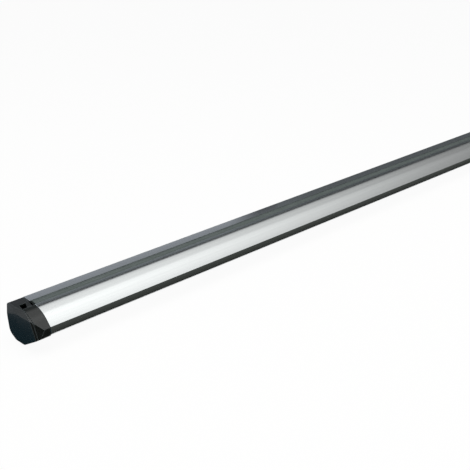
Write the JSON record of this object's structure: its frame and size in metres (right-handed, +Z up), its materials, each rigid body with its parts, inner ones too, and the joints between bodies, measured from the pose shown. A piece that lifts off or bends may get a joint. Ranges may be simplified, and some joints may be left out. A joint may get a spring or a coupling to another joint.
{
  "type": "roof rack crossbar",
  "caption": "Hollow teardrop aluminium roof bar with a T-track on top, a foot channel below and black end caps whose flaps fold down to open the track.",
  "frame": {"origin": "mid-length, under the centre line of the track, on the underside of the extrusion", "axes": "+X along the bar, +Y towards the thick edge, +Z up to the load face"},
  "size_m": [1.2512, 0.0599, 0.0457],
  "materials": {
    "anodised_aluminium": "satin anodised extrusion",
    "strip_rubber": "matt extruded rubber",
    "cap_plastic": "fine-grained black moulding",
    "pin_steel": "drawn stainless wire",
    "screw_steel": "zinc plated"
  },
  "bodies": {
    "crossbar": {"bar": "anodised_aluminium", "track_strip": "strip_rubber", "collar_left": "cap_plastic", "hinge_pin_left": "pin_steel", "screw_left_rear": "screw_steel", "screw_left_front": "screw_steel", "collar_right": "cap_plastic", "hinge_pin_right": "pin_steel", "screw_right_rear": "screw_steel", "screw_right_front": "screw_steel"},
    "flap_left": {"lid_left": "cap_plastic"},
    "flap_right": {"lid_right": "cap_plastic"}
  },
  "joints": [
    {"name": "flap_left_hinge", "type": "hinge", "parent": "crossbar", "child": "flap_left", "pos_m": [-0.6208, 0, 0.0013], "axis": [0, -1, 0], "range_deg": [0, 95]},
    {"name": "flap_right_hinge", "type": "hinge", "parent": "crossbar", "child": "flap_right", "pos_m": [0.6208, 0, 0.0013], "axis": [0, 1, 0], "range_deg": [0, 95]}
  ]
}
